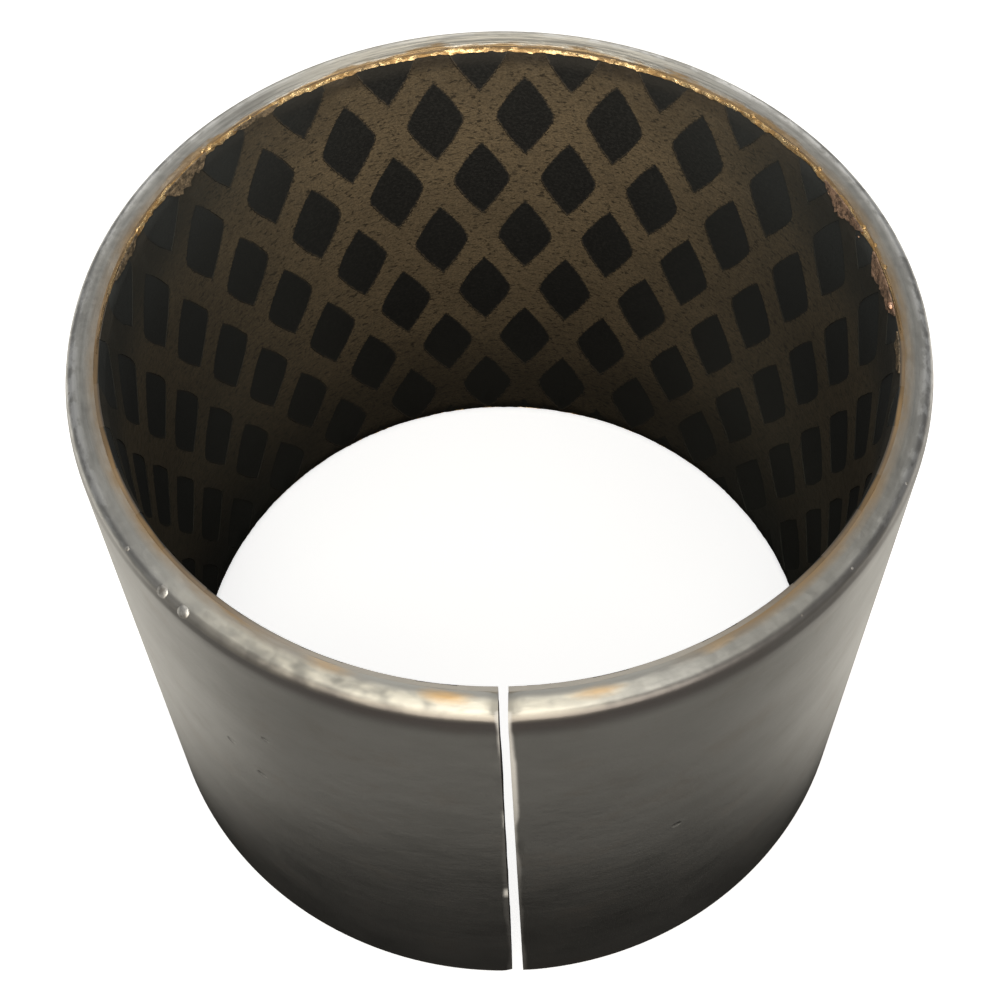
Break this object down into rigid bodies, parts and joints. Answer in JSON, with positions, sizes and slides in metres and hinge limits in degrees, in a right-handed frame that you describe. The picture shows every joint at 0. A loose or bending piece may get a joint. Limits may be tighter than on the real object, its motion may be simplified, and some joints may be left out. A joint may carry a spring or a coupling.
{
  "type": "graphite plugged bushing",
  "caption": "Wrapped plain bushing with a butt seam: steel backing, bonded bronze lining and graphite-filled lozenge pockets in the bore.",
  "frame": {"origin": "centre of the bushing's lower end face", "axes": "+Z along the bushing's axis, -Y out through the open butt seam"},
  "size_m": [0.044, 0.044, 0.035],
  "materials": {
    "backing_steel": "satin grey rolled steel, lightly stained",
    "lining_bronze": "sintered leaded bronze, dull brown, fine pores",
    "plug_graphite": "matt dark graphite fill"
  },
  "bodies": {
    "root": {"bronze_lining": "lining_bronze", "graphite_column_01": "plug_graphite", "graphite_column_02": "plug_graphite", "graphite_column_03": "plug_graphite", "graphite_column_04": "plug_graphite", "graphite_column_05": "plug_graphite", "graphite_column_06": "plug_graphite", "graphite_column_07": "plug_graphite", "graphite_column_08": "plug_graphite", "graphite_column_09": "plug_graphite", "graphite_column_10": "plug_graphite", "graphite_column_11": "plug_graphite", "graphite_column_12": "plug_graphite", "graphite_column_13": "plug_graphite", "graphite_column_14": "plug_graphite", "graphite_column_15": "plug_graphite", "graphite_column_16": "plug_graphite", "graphite_column_17": "plug_graphite", "graphite_column_18": "plug_graphite", "graphite_column_19": "plug_graphite", "graphite_column_20": "plug_graphite", "graphite_column_21": "plug_graphite", "graphite_column_22": "plug_graphite", "graphite_column_23": "plug_graphite", "graphite_column_24": "plug_graphite", "graphite_column_25": "plug_graphite", "graphite_column_26": "plug_graphite", "graphite_column_27": "plug_graphite", "graphite_column_28": "plug_graphite", "graphite_column_29": "plug_graphite", "graphite_column_30": "plug_graphite", "graphite_column_31": "plug_graphite", "graphite_column_32": "plug_graphite", "graphite_column_33": "plug_graphite", "graphite_column_34": "plug_graphite", "graphite_column_35": "plug_graphite", "graphite_column_36": "plug_graphite", "graphite_column_37": "plug_graphite", "graphite_column_38": "plug_graphite", "graphite_column_39": "plug_graphite", "graphite_column_40": "plug_graphite", "graphite_column_41": "plug_graphite", "graphite_column_42": "plug_graphite", "graphite_column_43": "plug_graphite", "graphite_column_44": "plug_graphite", "graphite_column_45": "plug_graphite", "graphite_column_46": "plug_graphite", "graphite_column_47": "plug_graphite", "steel_backing": "backing_steel"}
  },
  "joints": []
}
